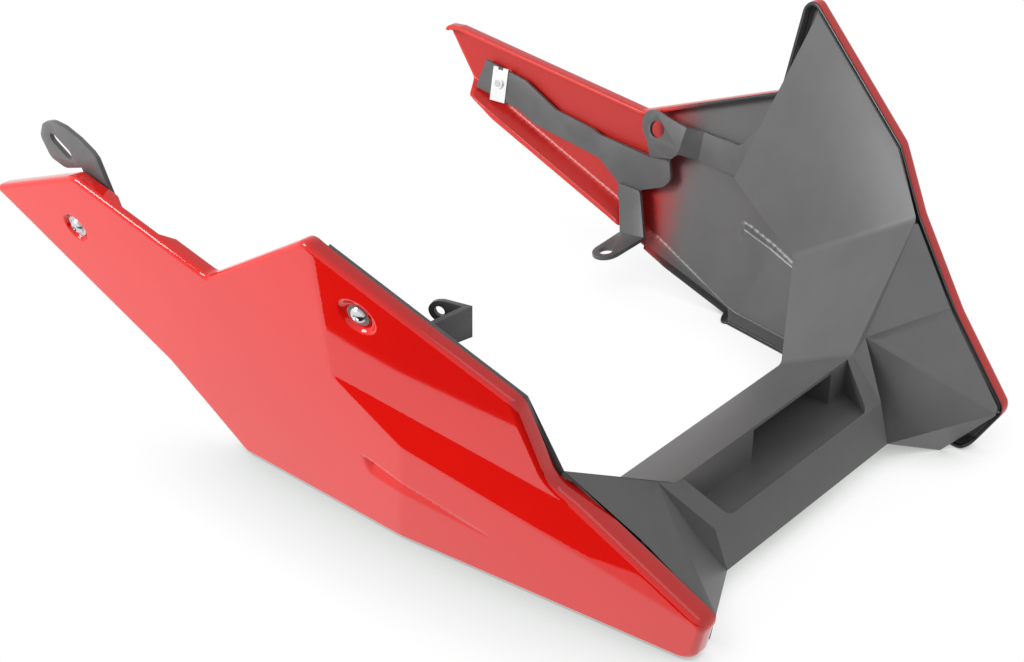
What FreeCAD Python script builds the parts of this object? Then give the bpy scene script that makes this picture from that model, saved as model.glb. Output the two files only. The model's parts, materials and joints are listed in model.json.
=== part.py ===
import FreeCAD, Part
import os
from math import cos, radians, sin, sqrt, tan

# Motorcycle belly pan: two moulded side panels, a black keel that joins them at the front,
# four folded steel brackets and their fasteners. Millimetres, +X forward, +Y the rider's left,
# +Z up. The pan stands on the bottom edges of its panels, on z = 0.

V = FreeCAD.Vector

# Side panels: wall, and the rim that turns in all round
WALL = 3.0
RIM_DEPTH = 11.0
LIP_DEPTH = 15.4
LIP_HEIGHT = 4.0

# Skin points (x, half width, z); the facets of the outer skin run through them
FLOOR_REAR = (-57.0, 187.0, 3.0)
FLOOR_MID = (50.0, 185.6, 3.0)
FLOOR_NOSE = (247.0, 160.5, 3.0)
NOSE_SIDE = (280.0, 165.2, 32.5)
APEX_SKIN = (45.0, 249.2, 241.3)
CREASE_TOP = (51.0, 240.0)
CREASE_LOW = (30.0, 120.0)
BROW_SKIN = (167.0, 212.0, 171.5)
RIDGE_REAR = (59.0, 104.0)
RIDGE_FRONT = (223.0, 56.0)
WEDGE_TOP = (173.0, 102.0)

# Outlines in side view: x, z and corner radius, from the tail tip over the top to the nose
RIGHT_OUTLINE = [
    (-288.0, 157.0, 4.0), (-180.0, 204.5, 14.0), (-67.0, 169.5, 8.0), (45.0, 243.5, 9.0),
    (169.5, 168.5, 12.0), (178.5, 109.0, 22.0), (277.5, 41.0, 9.0), (264.0, 0.0, 16.0),
    (-100.0, 0.0, 12.0), (-152.0, 55.0, 60.0), (-283.0, 146.0, 4.0),
]
LEFT_OUTLINE = [
    (-289.0, 137.0, 4.0), (-268.0, 139.5, 6.0), (-69.5, 127.0, 8.0), (48.5, 175.5, 10.0),
    (52.0, 250.5, 9.0), (162.0, 175.0, 12.0), (191.5, 136.0, 22.0), (290.5, 35.5, 9.0),
    (271.0, 0.0, 14.0), (42.0, 0.0, 20.0), (-150.0, 62.0, 30.0), (-213.0, 80.0, 10.0),
    (-240.0, 92.0, 10.0),
]
# Where the skin turns in above the bottom edge: two points in side view, and the way in per
# way down; then where the stretch that stands on the floor begins
RIGHT_TURNS = [((-283.0, 153.0), (-148.0, 61.0), 1.0), ((-148.0, 61.0), (-98.0, 5.0), 1.0)]
LEFT_TURNS = [((-250.0, 98.5), (-80.6, 48.8), 2.4), ((-80.6, 48.8), (36.0, 4.0), 2.4)]
RIGHT_FLOOR_START = -84.0
LEFT_FLOOR_START = 45.0
RIGHT_OPEN = (0.0, -9.0)
LEFT_OPEN = (-9.0, -9.0)

# Notch that leaves two tabs on the top rim of the right panel
NOTCH_X = (-146.0, -107.0)
NOTCH_DEPTH = 5.0

# Scoop pressed into the lower face: (x, z) at its two rear corners and at its tip, and its depth
SCOOP_TOP = (37.0, 69.0)
SCOOP_BOTTOM = (38.0, 54.0)
SCOOP_TIP = (139.0, 41.0)
SCOOP_DEPTH = 4.0
SCOOP_DRAFT = 4.0

# Stretch of the left panel's lower lip that is cut back behind the lower leg
LEG_NOTCH_X = (-69.0, -39.5)
LEG_CLEARANCE = 0.6

# Panel screws, in side view
RIGHT_REAR_SCREW = (-201.0, 155.0)
RIGHT_FRONT_SCREW = (70.0, 196.0)
LEFT_REAR_SCREW = (-216.0, 105.0)
LEFT_FRONT_SCREW = (70.0, 196.0)
REAR_DIMPLE = 22.0
FRONT_DIMPLE = 27.0
DIMPLE_DEPTH = 3.0
SEAT = 18.0
SCREW = 6.0
SCREW_HOLE = 6.6

# Keel: wall, and its corners (x, y, z) on the face that shows, for the left half
KEEL_WALL = 2.5
BAY_REAR = (144.0, 101.0, 37.0)
CREST = (202.0, 97.0, 70.0)
CREST_END = (205.0, 118.0, 75.0)
BROW = (230.0, 93.0, 46.0)
CHIN = (239.5, 91.0, 18.0)
TOE = (258.0, 132.0, 0.0)
WING_LOW = [(26.6, 105.5), (70.0, 84.0), (97.0, 73.0)]
# The wings lie on the rims' free edges, and their own edges stay this far inside the outline
WING_DEPTH = RIM_DEPTH + KEEL_WALL
WING_INSET = 1.5
# For each wing: the outline's corner at the apex, and x at the wing's own apex and at its kink
LEFT_WING = (4, 67.1, 237.0)
RIGHT_WING = (3, 52.0, 227.0)

# Air pocket in the keel: half widths at the crest and the brow, floor and window
POCKET_REAR = 91.0
POCKET_FRONT = 77.0
POCKET_FLOOR = 43.0
POCKET_ROUND = 8.0
WINDOW = (-16.0, 72.0, 45.0, 65.0)
DUCT_REAR = 160.0

# Bracket steel
STEEL = 3.0
PLATE_OUT = 6.8
PLATE_IN = PLATE_OUT + STEEL
PLATE_HOLE = 7.0
LEG_OUT = 12.0
STRAP_IN = 13.0
EYE = (-202.5, 231.2, 214.6)
EYE_SLOT = (22.0, 9.0)
TAB_EYE = (88.7, 182.6, 186.5)
TAB_HOLE = 6.6
TAB_IN = 19.4
STRAP_EYE = (-46.7, 122.5)
STRAP_HOLE = 13.5
FOOT_EYE = (-53.5, 148.6, 34.6)
FOOT_ROUND = 11.0
FOOT_HOLE = 11.0

# Button-head socket screws, washers and spring clip nuts
THREAD = 5.9
HEAD = 10.5
HEAD_HEIGHT = 3.3
SOCKET = 4.0
WASHER = 15.5
WASHER_THICK = 1.2
REAR_TIP = 13.0
LEFT_FRONT_TIP = 10.8
RIGHT_FRONT_TIP = 22.0
CLIP_WIDTH = 16.0
CLIP_LEAF = 0.8
CLIP_BARREL = 9.0
NUT_WIDTH = 10.0
NUT_HEIGHT = 5.0
CLIP_TAIL = 13.0
REAR_BARREL = 12.6
FRONT_BARREL = 10.9
DOME_FLAT = 1.15

# Reaches of the working solids
X_REACH = 330.0
Z_LOW = -20.0
Z_HIGH = 280.0
FLAT = 1e-6
Y_CORE = -500.0
Y_INNER = 61.0


def plane_through(p, q, r):
    """Coefficients (a, b, c) of the plane y = a + b x + c z through three (x, y, z) points."""
    p, q, r = (V(*point) for point in (p, q, r))
    n = (q - p).cross(r - p)
    b = -n.x / n.y
    c = -n.z / n.y
    return (p.y - b * p.x - c * p.z, b, c)


def y_on(plane, x, z):
    return plane[0] + plane[1] * x + plane[2] * z


REAR_PLANE = plane_through(FLOOR_REAR, FLOOR_MID, APEX_SKIN)
BAND_PLANE = plane_through(FLOOR_MID, FLOOR_NOSE, NOSE_SIDE)


def on_plane(plane, xz):
    return (xz[0], y_on(plane, *xz), xz[1])


FRONT_PLANE = plane_through(on_plane(REAR_PLANE, CREASE_TOP), on_plane(REAR_PLANE, CREASE_LOW),
                            BROW_SKIN)
WEDGE_PLANE = plane_through(on_plane(BAND_PLANE, RIDGE_REAR), on_plane(BAND_PLANE, RIDGE_FRONT),
                            on_plane(FRONT_PLANE, WEDGE_TOP))


def turn_plane(line):
    """The rear plane tipped in below a line of the side view."""
    (x0, z0), (x1, z1), rate = line
    slope = (z1 - z0) / (x1 - x0)
    a, b, c = REAR_PLANE
    return (a - rate * (z0 - slope * x0), b - rate * slope, c + rate)


def box(x0, x1, y0, y1, z0, z1):
    return Part.makeBox(x1 - x0, y1 - y0, z1 - z0, V(x0, y0, z0))


def polyhedron(faces):
    """Solid from a closed set of flat faces, each a list of points."""
    shell = Part.makeShell([Part.Face(Part.makePolygon(f + [f[0]])) for f in faces])
    solid = Part.makeSolid(shell)
    if solid.Volume < 0:
        solid.reverse()
    return solid


def inside_of(plane, depth=0.0):
    """Everything inboard of a skin plane, moved in by depth along its normal."""
    a, b, c = plane
    a -= depth * sqrt(1.0 + b * b + c * c)
    corners = [(x, z) for x, z in ((-X_REACH, Z_LOW), (X_REACH, Z_LOW), (X_REACH, Z_HIGH),
                                   (-X_REACH, Z_HIGH))]
    inner = [V(x, Y_CORE, z) for x, z in corners]
    outer = [V(x, y_on((a, b, c), x, z), z) for x, z in corners]
    sides = [[inner[i], inner[(i + 1) % 4], outer[(i + 1) % 4], outer[i]] for i in range(4)]
    return polyhedron([inner, outer] + sides)


def skin_region(depth, turns):
    """Space inboard of the whole faceted skin, moved in by depth."""
    front = inside_of(BAND_PLANE, depth).common(inside_of(WEDGE_PLANE, depth))
    region = inside_of(REAR_PLANE, depth).common(front.fuse(inside_of(FRONT_PLANE, depth)))
    if turns:
        rear, ahead = (inside_of(turn_plane(line), depth) for line in turns)
        region = region.common(rear.fuse(ahead))
    return region


def scoop(grow, depth):
    """Wedge that is pressed into the lower face, widened by grow and depth deep at its rear."""
    spots = [(SCOOP_TOP[0] - grow, SCOOP_TOP[1] + grow), (SCOOP_BOTTOM[0] - grow, SCOOP_BOTTOM[1] - grow),
             (SCOOP_TIP[0] + grow, SCOOP_TIP[1])]
    low_spots = [(spots[0][0] + SCOOP_DRAFT, spots[0][1] - SCOOP_DRAFT / 2),
                 (spots[1][0] + SCOOP_DRAFT, spots[1][1] + SCOOP_DRAFT / 2), spots[2]]
    top = [V(*at_depth(BAND_PLANE, xz, -WALL)) for xz in spots]
    low = [V(*at_depth(BAND_PLANE, xz, deep)) for xz, deep in zip(low_spots, (depth, depth, depth - SCOOP_DEPTH))]
    faces = [top, low]
    for i in range(3):
        faces += flat_faces([top[i - 1], top[i], low[i], low[i - 1]])
    shell = Part.makeShell([f if isinstance(f, Part.Face) else flat_faces(f)[0] for f in faces])
    shell.sewShape()
    solid = Part.makeSolid(shell)
    if solid.Volume < 0:
        solid.reverse()
    return solid


def rounded_wire(corners):
    """Closed wire in the x-z plane through rounded corners (x, z, radius)."""
    count = len(corners)
    points = [V(x, 0, z) for x, z, _ in corners]
    arcs = []
    for i, (_, _, radius) in enumerate(corners):
        back = (points[i - 1] - points[i]).normalize()
        ahead = (points[(i + 1) % count] - points[i]).normalize()
        half = back.getAngle(ahead) / 2
        reach = radius / tan(half)
        middle = points[i] + (back + ahead).normalize() * (radius / sin(half) - radius)
        arcs.append((points[i] + back * reach, middle, points[i] + ahead * reach))
    edges = []
    for i in range(count):
        edges.append(Part.Arc(*arcs[i]).toShape())
        start = arcs[i][2]
        end = arcs[(i + 1) % count][0]
        edges.append(Part.LineSegment(start, end).toShape())
    return Part.Wire(edges)


def prism(wire):
    """Solid that runs out along +Y over a side-view wire."""
    face = Part.Face(wire)
    solid = face.extrude(V(0, X_REACH, 0))
    solid.translate(V(0, Y_INNER, 0))
    return solid


def skin_frame(xz, depth=0.0):
    """Point on the skin at (x, z) and its outward normal."""
    x, z = xz
    planes = [REAR_PLANE, FRONT_PLANE]
    plane = min(planes, key=lambda p: y_on(p, x, z))
    normal = V(-plane[1], 1.0, -plane[2]).normalize()
    point = V(x, y_on(plane, x, z), z)
    return point - normal * depth, normal


def dimple(xz, diameter):
    """Round tapered recess for a screw and its washer, with the screw hole."""
    point, normal = skin_frame(xz)
    recess = Part.makeCone(SEAT / 2, diameter / 2, DIMPLE_DEPTH, point - normal * DIMPLE_DEPTH, normal)
    mouth = Part.makeCylinder(diameter / 2, DIMPLE_DEPTH, point, normal)
    hole = Part.makeCylinder(SCREW_HOLE / 2, 30.0, point - normal * 20.0, normal)
    return recess.fuse(mouth).fuse(hole)


def dimple_back(xz, diameter, boss):
    """The moulded cup behind a dimple, one wall larger all round, on a boss down to depth boss."""
    point, normal = skin_frame(xz)
    cup_depth = DIMPLE_DEPTH + WALL
    cup = Part.makeCone(SEAT / 2 + WALL, diameter / 2 + WALL, cup_depth, point - normal * cup_depth, normal)
    return cup.fuse(Part.makeCylinder(SEAT / 2, boss, point - normal * boss, normal))


def side_panel(outline, turns, rear_lip, floor_start, opened, screws, notch):
    """One moulded side panel, built on the left."""
    wire = rounded_wire(outline)
    block = prism(wire).common(skin_region(0.0, turns)).cut(scoop(0.0, SCOOP_DEPTH))
    inner_wire = wire.makeOffset2D(-WALL)
    inner = prism(inner_wire)
    lowered = inner.copy()
    lowered.translate(V(opened[0], 0, opened[1]))
    rear_half = box(-X_REACH, floor_start, 0, X_REACH, Z_LOW, Z_HIGH)
    cavity = inner.fuse(lowered.common(rear_half)).common(skin_region(WALL, turns))
    cavity = cavity.cut(scoop(WALL, SCOOP_DEPTH + WALL))
    for xz, diameter, boss in screws:
        cavity = cavity.cut(dimple_back(xz, diameter, boss))
    above_lip = box(-X_REACH, X_REACH, 0, X_REACH, LIP_HEIGHT, Z_HIGH).fuse(rear_half)
    beyond_rim = skin_region(RIM_DEPTH, turns).common(above_lip)
    shell = block.cut(cavity).cut(beyond_rim).cut(skin_region(LIP_DEPTH, []))
    shell = shell.cut(skin_region(rear_lip, []).common(rear_half))
    if not notch:
        leg = box(LEG_NOTCH_X[0], LEG_NOTCH_X[1], 0, X_REACH, LIP_HEIGHT, STRAP_EYE[1])
        shell = shell.cut(skin_region(STRAP_IN - LEG_CLEARANCE, []).common(leg))
    for xz, diameter, _ in screws:
        shell = shell.cut(dimple(xz, diameter))
    if notch:
        top = box(NOTCH_X[0], NOTCH_X[1], 0, X_REACH, 150.0, Z_HIGH)
        shell = shell.cut(skin_region(RIM_DEPTH - NOTCH_DEPTH, turns).common(top))
    return shell


def mirrored(shape):
    return shape.mirror(V(0, 0, 0), V(0, 1, 0))


def facet_normal(points):
    """Mean unit normal of a nearly flat loop of points."""
    total = V(0, 0, 0)
    for i, point in enumerate(points):
        total += point.cross(points[(i + 1) % len(points)])
    return total.normalize()


def solve_offset(normals, wall):
    """Shortest vector that moves a corner by wall against every normal."""
    normals = [n for i, n in enumerate(normals) if all(n.dot(m) < 1.0 - FLAT for m in normals[:i])]
    total = V(0, 0, 0)
    for normal in normals:
        total += normal
    if len(normals) < 3:
        return total * (-wall / (1.0 if len(normals) == 1 else 1.0 + normals[0].dot(normals[1])))
    rows = [V(0, 0, 0), V(0, 0, 0), V(0, 0, 0)]
    for normal in normals:
        rows = [row + normal * part for row, part in zip(rows, normal)]
    solved = [rows[1].cross(rows[2]), rows[2].cross(rows[0]), rows[0].cross(rows[1])]
    volume = rows[0].dot(solved[0])
    return (solved[0] * total.x + solved[1] * total.y + solved[2] * total.z) * (-wall / volume)


def folded_sheet(points, facets, wall):
    """Closed solid of a sheet with flat facets, given by the names of their corners.

    Each facet runs counter-clockwise seen from the face that is drawn, and the wall lies
    behind that face, or in front of it where wall is negative."""
    loops = [[V(*points[name]) for name in facet] for facet in facets]
    normals = [facet_normal(loop) for loop in loops]
    moved = {}
    for name, point in points.items():
        touching = [n for n, facet in zip(normals, facets) if name in facet]
        if touching:
            moved[name] = V(*point) + solve_offset(touching, wall)
    faces = []
    directed = set()
    for facet in facets:
        faces += flat_faces([V(*points[name]) for name in facet])
        faces += flat_faces([moved[name] for name in facet])
        directed.update((facet[i], facet[(i + 1) % len(facet)]) for i in range(len(facet)))
    for start, end in sorted(directed):
        if (end, start) not in directed:
            faces += flat_faces([V(*points[start]), V(*points[end]), moved[end], moved[start]])
    shell = Part.makeShell(faces)
    shell.sewShape()
    solid = Part.makeSolid(shell)
    if solid.Volume < 0:
        solid.reverse()
    return solid.removeSplitter()


def flat_faces(loop):
    """One flat face on a loop, or a fan of triangles where the loop is not flat."""
    normal = facet_normal(loop)
    drift = max(abs((point - loop[0]).dot(normal)) for point in loop)
    if drift < FLAT:
        return [Part.Face(Part.makePolygon(loop + [loop[0]]))]
    return [Part.Face(Part.makePolygon([loop[0], loop[i], loop[i + 1], loop[0]]))
            for i in range(1, len(loop) - 1)]


def through_hole(point, normal, radius, length=20.0):
    return Part.makeCylinder(radius, 2 * length, V(*point) - normal * length, normal)


def crease(z, depth):
    """Side-view point at height z where the rear and the front planes meet, moved in by depth."""
    rear, front = ((a - depth * sqrt(1.0 + b * b + c * c), b, c) for a, b, c in (REAR_PLANE, FRONT_PLANE))
    return ((rear[0] - front[0] + (rear[2] - front[2]) * z) / (front[1] - rear[1]), z)


def at_depth(plane, xz, depth):
    """Point with the given x and z on a skin plane that is moved in by depth."""
    a, b, c = plane
    return (xz[0], y_on(plane, *xz) - depth * sqrt(1.0 + b * b + c * c), xz[1])


def inset_corner(outline, i, distance):
    """Corner of an outline after its sides move inwards by distance, as (x, z)."""
    here, before, after = (V(outline[k][0], outline[k][1], 0) for k in (i, i - 1, i + 1))
    inwards = []
    for way in (here - before, after - here):
        way.normalize()
        inwards.append(V(way.y, -way.x, 0))
    moved = here + (inwards[0] + inwards[1]) * (distance / (1.0 + inwards[0].dot(inwards[1])))
    return moved.x, moved.y


def between(start, end, x):
    """Point at x on the line from start to end, as (x, z)."""
    part = (x - start[0]) / (end[0] - start[0])
    return x, start[1] + part * (end[1] - start[1])


def keel_points(outline, wing, sign):
    """Corners of one half of the keel, on the face that shows."""
    points = {"bay": BAY_REAR, "crest": CREST, "crest_end": CREST_END, "brow": BROW,
              "chin": CHIN, "toe": TOE}
    for name, xz in zip(("tail", "low", "knee"), WING_LOW):
        points[name] = at_depth(FRONT_PLANE, xz, WING_DEPTH)
    first, apex_x, kink_x = wing
    corners = [inset_corner(outline, first + k, WING_INSET) for k in range(4)]
    edge = {"apex": between(corners[0], corners[1], apex_x), "front": corners[1], "throat": corners[2],
            "kink": between(corners[2], corners[3], kink_x)}
    for name, xz in edge.items():
        points[name] = at_depth(FRONT_PLANE, xz, WING_DEPTH)
    points["nose"] = at_depth(BAND_PLANE, corners[3], WING_DEPTH)
    return {name: (x, sign * y, z) for name, (x, y, z) in points.items()}


KEEL_FACETS = [
    ("tail", "low", "knee", "front", "apex"),
    ("front", "knee", "throat"),
    ("knee", "bay", "crest", "throat"),
    ("crest", "crest_end", "throat"),
    ("crest_end", "crest", "brow"),
    ("crest_end", "brow", "chin"),
    ("crest_end", "chin", "nose"),
    ("crest_end", "nose", "kink"),
    ("crest_end", "kink", "throat"),
    ("nose", "chin", "toe"),
]


def keel_shell():
    """The faceted sheet of both wings and the bridge between them."""
    points = {}
    for side, outline, wing, sign in (("left", LEFT_OUTLINE, LEFT_WING, 1),
                                      ("right", RIGHT_OUTLINE, RIGHT_WING, -1)):
        for name, point in keel_points(outline, wing, sign).items():
            points[side + name] = point
    facets = [["left" + name for name in facet] for facet in KEEL_FACETS]
    facets += [["right" + name for name in reversed(facet)] for facet in KEEL_FACETS]
    for upper, lower in (("crest", "bay"), ("brow", "crest"), ("chin", "brow")):
        facets.append(["left" + upper, "left" + lower, "right" + lower, "right" + upper])
    return folded_sheet(points, facets, KEEL_WALL)


def pocket_plan(grow, low, high):
    """Upright prism over the plan of the air pocket, with rounded front corners."""
    rear = CREST[0] - grow
    front = BROW[0] - 1.0 + grow
    corners = [V(rear, -POCKET_REAR - grow, low), V(front, -POCKET_FRONT - grow, low),
               V(front, POCKET_FRONT + grow, low), V(rear, POCKET_REAR + grow, low)]
    face = Part.Face(Part.makePolygon(corners + [corners[0]]))
    solid = face.extrude(V(0, 0, high - low))
    fronts = [e for e in solid.Edges if e.CenterOfMass.x > front - 0.5 and e.BoundBox.ZLength > 1.0
              and e.BoundBox.YLength < 0.5]
    return solid.makeFillet(POCKET_ROUND + grow, fronts)


def under_bridge():
    """Space under the top faces of the bridge, for trimming the pocket."""
    profile = [V(BAY_REAR[0], 0, BAY_REAR[2]), V(CREST[0], 0, CREST[2]), V(BROW[0], 0, BROW[2]),
               V(CHIN[0], 0, CHIN[2]), V(CHIN[0], 0, 0), V(BAY_REAR[0], 0, 0)]
    face = Part.Face(Part.makePolygon(profile + [profile[0]]))
    solid = face.extrude(V(0, 2 * CREST_END[1], 0))
    solid.translate(V(0, -CREST_END[1], 0))
    return solid


def duct(grow):
    """Blind duct behind the pocket's rear wall, under the rear slope, or its outside if grown."""
    y0, y1 = WINDOW[0], WINDOW[1]
    block = box(DUCT_REAR - grow, CREST[0] - grow, y0 - grow, y1 + grow, POCKET_FLOOR - grow, Z_HIGH)
    roof = under_bridge()
    if not grow:
        slope = (CREST[2] - BAY_REAR[2]) / (CREST[0] - BAY_REAR[0])
        roof.translate(V(0, 0, -KEEL_WALL * sqrt(1.0 + slope * slope)))
    return block.common(roof)


def keel(panels):
    """Front keel: two wings, the bridge and the air pocket sunk into it, seated in the rims."""
    shell = keel_shell()
    shell = shell.cut(pocket_plan(0.0, POCKET_FLOOR, Z_HIGH))
    tray = pocket_plan(KEEL_WALL, POCKET_FLOOR - KEEL_WALL, Z_HIGH).common(under_bridge())
    tray = tray.cut(pocket_plan(0.0, POCKET_FLOOR, Z_HIGH))
    y0, y1, z0, z1 = WINDOW
    window = box(CREST[0] - 2 * KEEL_WALL, CREST[0] + KEEL_WALL, y0, y1, z0, z1)
    shell = shell.fuse(tray).fuse(duct(KEEL_WALL)).cut(duct(0.0)).cut(window)
    for panel in panels:
        shell = shell.cut(panel)
    shell = max(shell.Solids, key=lambda solid: solid.Volume)
    point, normal = skin_frame(RIGHT_FRONT_SCREW)
    return shell.cut(mirrored(through_hole(point, normal, SCREW_HOLE / 2))).removeSplitter()


def right_rear_bracket():
    """Strap from the rear screw up past the rim to the slotted eye."""
    points = {name: at_depth(REAR_PLANE, xz, PLATE_OUT) for name, xz in (
        ("a", (-214, 148)), ("b", (-214, 160)), ("c", (-208, 168)), ("d", (-184, 176)),
        ("e", (-161, 176)), ("f", (-161, 165)), ("g", (-192, 142)), ("h", (-206, 142)))}
    points["i"] = at_depth(REAR_PLANE, (-184, 186), LEG_OUT)
    points["j"] = at_depth(REAR_PLANE, (-161, 186), LEG_OUT)
    points["k"] = at_depth(REAR_PLANE, (-184.4, 204.9), LEG_OUT)
    points["l"] = at_depth(REAR_PLANE, (-161.5, 221.9), LEG_OUT)
    eye_plane = plane_through(points["k"], points["l"], EYE)
    for name, xz in (("m", (-175.9, 229.5)), ("n", (-190, 233.5)), ("o", (-203.5, 233.3)),
                     ("p", (-217, 227.5)), ("q", (-225.6, 214.8)), ("r", (-221, 199.5)),
                     ("s", (-205.6, 196.7))):
        points[name] = on_plane(eye_plane, xz)
    sheet = folded_sheet(points, ["abcdefgh", "edij", "jikl", "lksrqponm"], STEEL)
    normal = V(-eye_plane[1], 1.0, -eye_plane[2]).normalize()
    along = V(*on_plane(eye_plane, (-211.7, 220.3))) - V(*on_plane(eye_plane, (-193.3, 208.8)))
    along.normalize()
    for shift in (-1, 1):
        spot = V(*EYE) + along * (shift * (EYE_SLOT[0] - EYE_SLOT[1]) / 2)
        sheet = sheet.cut(through_hole(spot, normal, EYE_SLOT[1] / 2))
    across = normal.cross(along)
    corner = V(*EYE) - along * ((EYE_SLOT[0] - EYE_SLOT[1]) / 2) - across * (EYE_SLOT[1] / 2) - normal * 10
    corners = [corner, corner + along * (EYE_SLOT[0] - EYE_SLOT[1])]
    corners += [corners[1] + across * EYE_SLOT[1], corner + across * EYE_SLOT[1]]
    slot = Part.Face(Part.makePolygon(corners + [corner])).extrude(normal * 20)
    return screw_hole(sheet.cut(slot), RIGHT_REAR_SCREW)


def right_front_bracket():
    """Strap from the front screw, turned inboard and back to a small tab."""
    points = {name: at_depth(FRONT_PLANE, xz, WING_DEPTH) for name, xz in (
        ("a", (58, 186)), ("b", (61, 207)), ("c", (80, 208)), ("d", (100.0, 190)),
        ("e", (101.0, 172)), ("f", (72, 181)))}
    points.update({"g": (107.2, 175.9, 192.9), "h": (107.2, 176.2, 171.9)})
    tab_plane = plane_through(points["g"], points["h"], TAB_EYE)
    for name, xz in (("i", (88.5, 194.0)), ("j", (82.0, 190.0)), ("k", (82.0, 183.0)), ("l", (88.0, 178.5))):
        points[name] = on_plane(tab_plane, xz)
    sheet = folded_sheet(points, ["abcdef", "edgh", "hgijkl"], STEEL)
    normal = facet_normal([V(*points[name]) for name in "hgijkl"])
    return screw_hole(sheet.cut(through_hole(TAB_EYE, normal, TAB_HOLE / 2, 8.0)), RIGHT_FRONT_SCREW)


def left_main_bracket():
    """One folded strap: rear screw, joggle, eye tab and on to the front screw."""
    points = {name: at_depth(REAR_PLANE, xz, PLATE_IN) for name, xz in (
        ("a", (-240.6, 98.0)), ("b", (-234.8, 121.8)), ("c", (-190.3, 116.9)), ("d", (-154.6, 103.6)),
        ("e", (-114.6, 99.9)), ("f", (-113.0, 81.2)), ("g", (-172.0, 86.3)), ("h", (-194.2, 93.5)),
        ("A", (-10.3, 127.6)), ("B", (-10.3, 106.1)), ("C", crease(104.0, PLATE_IN)), ("D", crease(140.0, PLATE_IN)),
        ("E", (24.5, 127.4)))}
    points.update({name: at_depth(REAR_PLANE, xz, STRAP_IN) for name, xz in (
        ("i", (-104.9, 99.3)), ("j", (-99.4, 81.8)), ("k", (-76.6, 68.9)), ("l", (-75.0, 58.0)),
        ("m", (-57.0, 58.0)), ("n", (-55.6, 69.9)), ("o", (-34.1, 79.1)), ("p", (-29.1, 86.2)),
        ("q", (-34.0, 99.9)), ("r", (-52.6, 96.9)))})
    points.update({name: at_depth(REAR_PLANE, xz, TAB_IN) for name, xz in (
        ("s", (-28.0, 105.5)), ("t", (-23.5, 110.2)), ("u", (-20.5, 131.3)), ("v", (-54.5, 135.9)),
        ("V", (-60.0, 132.0)), ("w", (-62.0, 126.8)), ("x", (-60.5, 118.8)), ("y", (-53.5, 111.0)))})
    points.update({name: at_depth(FRONT_PLANE, xz, PLATE_IN) for name, xz in (
        ("F", (62.0, 140.0)), ("G", (88.0, 188.0)), ("H", (84.0, 206.0)), ("I", (62.0, 210.0)),
        ("J", (56.0, 166.0)))})
    facets = ["ahgfedcb", "fjie", "jklmnopqri", "rqsy", "stuvVwxy", "tBAu", "BCDEA", "CFGHIJD"]
    sheet = folded_sheet(points, facets, STEEL)
    normal = V(-REAR_PLANE[1], 1.0, -REAR_PLANE[2]).normalize()
    eye = at_depth(REAR_PLANE, STRAP_EYE, TAB_IN)
    sheet = sheet.cut(through_hole(eye, normal, STRAP_HOLE / 2, 6.0))
    return screw_hole(screw_hole(sheet, LEFT_REAR_SCREW), LEFT_FRONT_SCREW)


def left_lower_leg():
    """Bar lapped on the strap and turned inboard to the foot."""
    points = {name: at_depth(REAR_PLANE, xz, STRAP_IN + STEEL) for name, xz in (
        ("a", (-74.6, 70.6)), ("b", (-64.5, 35.0)), ("c", (-41.0, 38.0)), ("d", (-53.4, 70.9)))}
    bend = V(*points["b"])
    n = (V(*points["c"]) - bend).cross(V(*FOOT_EYE) - bend)
    for name, turn in zip("efghijk", range(180, 361, 30)):
        x = FOOT_EYE[0] + FOOT_ROUND * cos(radians(turn))
        y = FOOT_EYE[1] + FOOT_ROUND * sin(radians(turn))
        points[name] = (x, y, bend.z - (n.x * (x - bend.x) + n.y * (y - bend.y)) / n.z)
    sheet = folded_sheet(points, ["abcd", "cbefghijk"], STEEL)
    return sheet.cut(through_hole(FOOT_EYE, n.normalize(), FOOT_HOLE / 2, 8.0))


def screw_hole(sheet, xz):
    """Clearance hole for a panel screw through a bracket."""
    point, normal = skin_frame(xz)
    return sheet.cut(through_hole(point, normal, PLATE_HOLE / 2))


def panel_screw(xz, tip):
    """Domed socket screw that stands on its washer and ends at depth tip."""
    point, normal = skin_frame(xz, DIMPLE_DEPTH - WASHER_THICK)
    dome = HEAD * HEAD / (8 * HEAD_HEIGHT) + HEAD_HEIGHT / 2
    head = Part.makeCylinder(HEAD / 2, HEAD_HEIGHT, point, normal)
    head = head.common(Part.makeSphere(dome * DOME_FLAT, point + normal * (HEAD_HEIGHT - dome * DOME_FLAT)))
    shank = Part.makeCylinder(THREAD / 2, tip - DIMPLE_DEPTH + WASHER_THICK, point, normal * -1)
    turned = Part.Wire(Part.makePolygon(hexagon(point + normal * HEAD_HEIGHT, normal, SOCKET)))
    socket = Part.Face(turned).extrude(normal * (-0.6 * HEAD_HEIGHT))
    return head.fuse(shank).cut(socket).removeSplitter()


def hexagon(centre, normal, across):
    """Closed loop of a hexagon square to normal, measured across its flats."""
    side = normal.cross(V(0, 0, 1)).normalize()
    up = side.cross(normal).normalize()
    radius = across / sqrt(3.0)
    loop = [centre + side * (radius * cos(radians(60 * i))) + up * (radius * sin(radians(60 * i)))
            for i in range(6)]
    return loop + [loop[0]]


def panel_washer(xz):
    point, normal = skin_frame(xz, DIMPLE_DEPTH)
    ring = Part.makeCylinder(WASHER / 2, WASHER_THICK, point, normal)
    return ring.cut(Part.makeCylinder(SCREW_HOLE / 2, 3 * WASHER_THICK, point - normal, normal))


def weld_nut(xz, depth):
    """Hexagon nut on the inner face of a bracket."""
    point, normal = skin_frame(xz, depth)
    body = Part.Face(Part.Wire(Part.makePolygon(hexagon(point, normal, NUT_WIDTH))))
    body = body.extrude(normal * -NUT_HEIGHT)
    return body.cut(through_hole(point, normal, SCREW / 2))


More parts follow.
